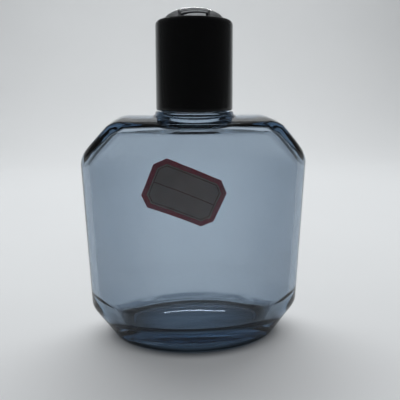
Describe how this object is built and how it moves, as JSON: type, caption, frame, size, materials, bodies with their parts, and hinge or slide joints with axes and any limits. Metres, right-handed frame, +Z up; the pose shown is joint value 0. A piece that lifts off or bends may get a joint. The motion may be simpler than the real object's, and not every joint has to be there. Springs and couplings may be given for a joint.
{
  "type": "aftershave bottle",
  "caption": "Flat oval bottle of tinted glass with cut upper corners, a tall glossy screw cap under a clear domed medallion, a pour plug and a paper label on its back.",
  "frame": {"origin": "centre of the base, on the surface the bottle stands on", "axes": "+Z up along the neck, -Y toward the front face, +X to the right seen from the front"},
  "size_m": [0.0794, 0.0354, 0.1167],
  "materials": {
    "tinted_glass": "gloss",
    "plug_plastic": "satin",
    "wad_foam": "matte",
    "insert_plastic": "satin",
    "cap_plastic": "gloss",
    "medallion_metal": "satin",
    "dome_plastic": "gloss",
    "label_paper": "matte"
  },
  "bodies": {
    "bottle": {"glass_bottle": "tinted_glass", "pour_plug": "plug_plastic", "paper_label": "label_paper"},
    "wad": {"sealing_wad": "wad_foam"},
    "cap": {"cap_shell": "cap_plastic", "cap_insert": "insert_plastic", "dome_medallion": "medallion_metal", "cap_dome": "dome_plastic"}
  },
  "joints": [
    {"name": "cap_lift", "type": "slide", "parent": "bottle", "child": "wad", "axis": [0, 0, 1], "range_m": [0, 0.0048]},
    {"name": "cap_turn", "type": "hinge", "parent": "wad", "child": "cap", "pos_m": [0, 0, 0.099], "axis": [0, 0, 1], "range_deg": [0, 540]}
  ],
  "couplings": [
    {"joint": "cap_lift", "follows": "cap_turn", "m_per_rad": 0.00050532}
  ]
}
